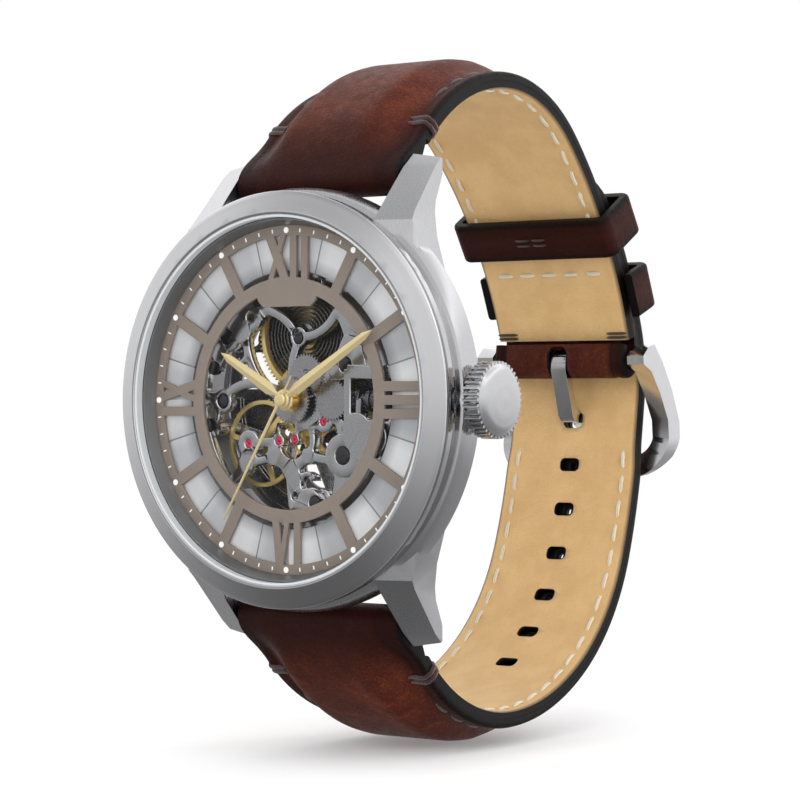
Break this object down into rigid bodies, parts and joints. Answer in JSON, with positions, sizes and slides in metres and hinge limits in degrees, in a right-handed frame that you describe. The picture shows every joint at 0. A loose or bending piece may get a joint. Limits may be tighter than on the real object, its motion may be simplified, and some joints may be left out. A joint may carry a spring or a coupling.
{
  "type": "skeleton wristwatch",
  "caption": "Automatic skeleton wristwatch with openworked dial, visible movement, domed glass, crown and a padded leather strap closed by a pin buckle.",
  "frame": {"origin": "centre of the case back's flat outer face", "axes": "+X through the crown at 3 o'clock, +Y out of the case back towards the wrist, +Z to 12 o'clock; the dial faces -Y"},
  "size_m": [0.0486, 0.064, 0.0762],
  "materials": {
    "case_steel": "satin and polished stainless steel, vertically brushed on the lugs",
    "polished_steel": "polished stainless steel",
    "clear_glass": "clear mineral glass",
    "clear_plastic": "translucent nylon",
    "black_rubber": "matt black",
    "rehaut_grey": "satin grey",
    "dial_taupe": "matt taupe lacquer with fine grain",
    "frosted_plastic": "satin silver moulding",
    "movement_steel": "grained steel",
    "rhodium_plate": "rhodium plated and fine brushed",
    "gilt_brass": "gilt, satin",
    "blued_steel": "blued spring steel",
    "ruby": "polished synthetic ruby",
    "dark_screw": "blackened polished steel",
    "brown_leather": "waxed reddish brown calf, burnished dark at the edges",
    "tan_lining": "natural tan leather lining"
  },
  "bodies": {
    "root": {"case_middle": "case_steel", "bezel": "polished_steel", "crystal": "clear_glass", "crystal_gasket": "clear_plastic", "flange_ring": "rehaut_grey", "dial": "dial_taupe", "holder_ring": "frosted_plastic", "case_back": "case_steel", "back_crystal": "clear_glass", "back_gasket": "black_rubber", "crown_tube": "case_steel", "spring_bars": "case_steel", "main_plate": "rhodium_plate", "train_bridge": "rhodium_plate", "barrel_bridge": "rhodium_plate", "balance_cock": "rhodium_plate", "pallet_cock": "rhodium_plate", "automatic_bridge": "rhodium_plate", "jewels": "ruby", "movement_screws": "dark_screw", "keyless_cover": "rhodium_plate", "hairspring": "blued_steel", "strap_upper": "brown_leather", "lining_upper": "tan_lining", "strap_lower": "brown_leather", "lining_lower": "tan_lining", "keeper_fixed": "brown_leather", "buckle_bar": "case_steel"},
    "crown_seal": {"crown_gasket": "black_rubber"},
    "crown_and_stem": {"crown": "case_steel", "winding_stem": "movement_steel"},
    "clutch": {"sliding_pinion": "movement_steel"},
    "winding_pinion_body": {"winding_pinion": "movement_steel"},
    "crown_wheel_body": {"crown_wheel": "movement_steel"},
    "intermediate_wheel_body": {"intermediate_wheel": "movement_steel"},
    "barrel_arbor_body": {"barrel_arbor": "movement_steel", "ratchet_wheel": "movement_steel"},
    "click_body": {"click": "movement_steel"},
    "setting_lever_body": {"setting_lever": "movement_steel"},
    "yoke_body": {"yoke": "movement_steel"},
    "minute_body": {"minute_hand": "gilt_brass", "cannon_pinion": "movement_steel", "centre_wheel": "gilt_brass"},
    "hour_body": {"hour_hand": "gilt_brass", "hour_wheel": "gilt_brass"},
    "second_body": {"second_hand": "gilt_brass", "fourth_wheel": "gilt_brass"},
    "minute_wheel_body": {"minute_wheel": "movement_steel"},
    "setting_wheel_body": {"setting_wheel": "movement_steel"},
    "third_wheel_body": {"third_wheel": "gilt_brass"},
    "escape_wheel_body": {"escape_wheel": "gilt_brass"},
    "barrel_body": {"barrel_drum": "gilt_brass", "mainspring": "movement_steel"},
    "pallet_body": {"pallet_fork": "movement_steel"},
    "balance_body": {"balance_wheel": "gilt_brass"},
    "rotor_body": {"rotor": "rhodium_plate"},
    "reversing_wheel_body": {"reversing_wheel": "movement_steel"},
    "keeper_body": {"keeper_sliding": "brown_leather"},
    "buckle_body": {"buckle_frame": "case_steel"},
    "tongue_body": {"buckle_tongue": "case_steel"}
  },
  "joints": [
    {"name": "crown_pull", "type": "slide", "parent": "root", "child": "crown_seal", "axis": [1, 0, 0], "range_m": [0, 0.0012]},
    {"name": "crown_turn", "type": "hinge", "parent": "crown_seal", "child": "crown_and_stem", "pos_m": [0.024, -0.0058, 0], "axis": [1, 0, 0], "continuous": true},
    {"name": "clutch_slide", "type": "slide", "parent": "crown_and_stem", "child": "clutch", "axis": [1, 0, 0], "range_m": [-0.00147, 0]},
    {"name": "winding_pinion_turn", "type": "hinge", "parent": "root", "child": "winding_pinion_body", "pos_m": [0.0104, -0.0058, 0], "axis": [1, 0, 0], "continuous": true},
    {"name": "crown_wheel_turn", "type": "hinge", "parent": "root", "child": "crown_wheel_body", "pos_m": [0.00838, -0.00405, 0], "axis": [0, -1, 0], "continuous": true},
    {"name": "intermediate_wheel_turn", "type": "hinge", "parent": "root", "child": "intermediate_wheel_body", "pos_m": [0.00516, -0.00405, 0.00269], "axis": [0, -1, 0], "continuous": true},
    {"name": "ratchet_turn", "type": "hinge", "parent": "root", "child": "barrel_arbor_body", "pos_m": [0, -0.0041, 0.007], "axis": [0, -1, 0], "continuous": true},
    {"name": "click_lift", "type": "hinge", "parent": "root", "child": "click_body", "pos_m": [-0.0065, -0.00405, 0.0092], "axis": [0, 1, 0], "range_deg": [0, 8]},
    {"name": "setting_lever_turn", "type": "hinge", "parent": "root", "child": "setting_lever_body", "pos_m": [0.0124, -0.0074, 0.0028], "axis": [0, -1, 0], "range_deg": [0, 25]},
    {"name": "yoke_turn", "type": "hinge", "parent": "root", "child": "yoke_body", "pos_m": [0.00856, -0.0074, -0.0032], "axis": [0, -1, 0], "range_deg": [0, 5]},
    {"name": "minute_hand_turn", "type": "hinge", "parent": "root", "child": "minute_body", "pos_m": [0, -0.0075, 0], "axis": [0, 1, 0], "continuous": true},
    {"name": "hour_hand_turn", "type": "hinge", "parent": "root", "child": "hour_body", "pos_m": [0, -0.008, 0], "axis": [0, 1, 0], "continuous": true},
    {"name": "second_hand_turn", "type": "hinge", "parent": "root", "child": "second_body", "pos_m": [0, -0.006, 0], "axis": [0, 1, 0], "continuous": true},
    {"name": "minute_wheel_turn", "type": "hinge", "parent": "root", "child": "minute_wheel_body", "pos_m": [0.0015, -0.00735, 0.0026], "axis": [0, 1, 0], "continuous": true},
    {"name": "setting_wheel_turn", "type": "hinge", "parent": "root", "child": "setting_wheel_body", "pos_m": [0.00502, -0.00735, 0], "axis": [0, 1, 0], "continuous": true},
    {"name": "third_wheel_turn", "type": "hinge", "parent": "root", "child": "third_wheel_body", "pos_m": [0.00367, -0.005, -0.00225], "axis": [0, 1, 0], "continuous": true},
    {"name": "escape_wheel_turn", "type": "hinge", "parent": "root", "child": "escape_wheel_body", "pos_m": [-0.00026, -0.005, -0.00419], "axis": [0, 1, 0], "continuous": true},
    {"name": "barrel_turn", "type": "hinge", "parent": "root", "child": "barrel_body", "pos_m": [0, -0.005, 0.007], "axis": [0, 1, 0], "continuous": true},
    {"name": "pallet_swing", "type": "hinge", "parent": "root", "child": "pallet_body", "pos_m": [-0.00244, -0.0054, -0.00437], "axis": [0, 1, 0], "range_deg": [-5, 5]},
    {"name": "balance_swing", "type": "hinge", "parent": "root", "child": "balance_body", "pos_m": [-0.0066, -0.00465, -0.0047], "axis": [0, 1, 0], "range_deg": [-270, 270]},
    {"name": "rotor_turn", "type": "hinge", "parent": "root", "child": "rotor_body", "pos_m": [0, -0.0023, 0], "axis": [0, 1, 0], "continuous": true},
    {"name": "reversing_wheel_turn", "type": "hinge", "parent": "root", "child": "reversing_wheel_body", "pos_m": [-0.00247, -0.0027, 0.00247], "axis": [0, 1, 0], "continuous": true},
    {"name": "keeper_slide", "type": "slide", "parent": "root", "child": "keeper_body", "axis": [0, -0.5225, 0.8526], "range_m": [-0.0025, 0.0035]},
    {"name": "buckle_swing", "type": "hinge", "parent": "root", "child": "buckle_body", "pos_m": [0, 0.0446, 0.0045], "axis": [1, 0, 0], "range_deg": [0, 2]},
    {"name": "tongue_swing", "type": "hinge", "parent": "root", "child": "tongue_body", "pos_m": [0, 0.0446, 0.0045], "axis": [1, 0, 0], "range_deg": [0, 2]}
  ],
  "couplings": [
    {"joint": "clutch_slide", "follows": "crown_pull", "ratio": -1.225},
    {"joint": "setting_lever_turn", "follows": "crown_pull", "rad_per_m": 352},
    {"joint": "yoke_turn", "follows": "crown_pull", "rad_per_m": 70.3},
    {"joint": "winding_pinion_turn", "follows": "crown_turn", "ratio": 1},
    {"joint": "crown_wheel_turn", "follows": "crown_turn", "ratio": 0.8},
    {"joint": "intermediate_wheel_turn", "follows": "crown_turn", "ratio": -0.8},
    {"joint": "ratchet_turn", "follows": "crown_turn", "ratio": 0.36364},
    {"joint": "hour_hand_turn", "follows": "minute_hand_turn", "ratio": 0.083333},
    {"joint": "minute_wheel_turn", "follows": "minute_hand_turn", "ratio": -0.33333},
    {"joint": "setting_wheel_turn", "follows": "minute_hand_turn", "ratio": 0.35294},
    {"joint": "third_wheel_turn", "follows": "minute_hand_turn", "ratio": -8},
    {"joint": "second_hand_turn", "follows": "minute_hand_turn", "ratio": 60},
    {"joint": "escape_wheel_turn", "follows": "minute_hand_turn", "ratio": -600},
    {"joint": "barrel_turn", "follows": "minute_hand_turn", "ratio": -0.125},
    {"joint": "reversing_wheel_turn", "follows": "rotor_turn", "ratio": -1.3333},
    {"joint": "tongue_swing", "follows": "buckle_swing", "ratio": 1}
  ]
}
